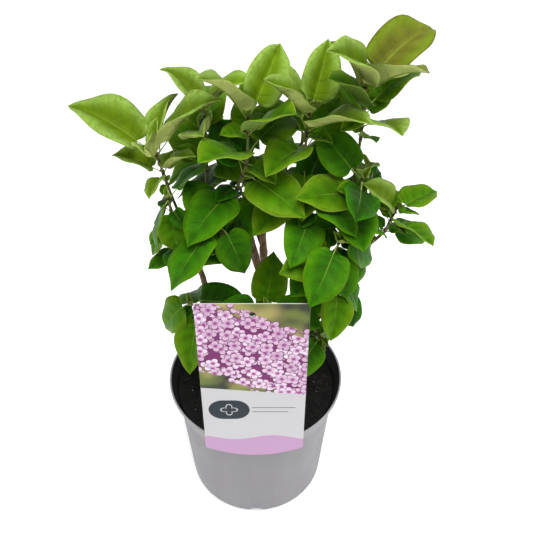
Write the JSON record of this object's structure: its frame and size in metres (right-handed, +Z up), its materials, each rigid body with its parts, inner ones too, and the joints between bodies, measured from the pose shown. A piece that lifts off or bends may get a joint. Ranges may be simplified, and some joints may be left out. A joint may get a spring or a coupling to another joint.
{
  "type": "potted lilac bush",
  "caption": "Young lilac shrub with heart-shaped leaves on upright leafy shoots, growing in a round grey nursery pot with a plant label.",
  "frame": {"origin": "centre of the pot's flat underside, on the surface it stands on", "axes": "+Z up the plant, -Y towards the side that carries the label, +X to the right seen from the label side"},
  "size_m": [0.2903, 0.2096, 0.4934],
  "materials": {
    "pot": "satin moulded grey plastic",
    "soil": "moist dark peat compost",
    "label": "printed plastic card",
    "stake": "white plastic strip",
    "bark": "grey-brown bark with lenticels",
    "foliage": "smooth leaves, satin"
  },
  "bodies": {
    "root": {"pot": "pot", "soil": "soil", "label_card": "label", "label_stake": "stake", "trunk": "bark", "bough_left": "bark", "bough_stub": "bark", "bough_centre": "bark", "bough_middle": "bark", "bough_right": "bark", "bough_back": "bark", "shoot_middle_front": "foliage", "shoot_front_left": "foliage", "shoot_right_front": "foliage", "shoot_tall": "foliage", "shoot_middle_crown": "foliage", "shoot_far_left": "foliage", "shoot_left_crown": "foliage", "shoot_centre_crown": "foliage", "shoot_left_mid": "foliage", "shoot_right_low": "foliage", "shoot_inner_right": "foliage", "shoot_right_side": "foliage", "shoot_right_back": "foliage", "shoot_left_side": "foliage", "shoot_back_left": "foliage", "shoot_back_right": "foliage", "shoot_back_low": "foliage", "shoot_foot_left": "foliage", "shoot_foot_front": "foliage", "shoot_foot_right": "foliage", "shoot_right_mid": "foliage"}
  },
  "joints": []
}
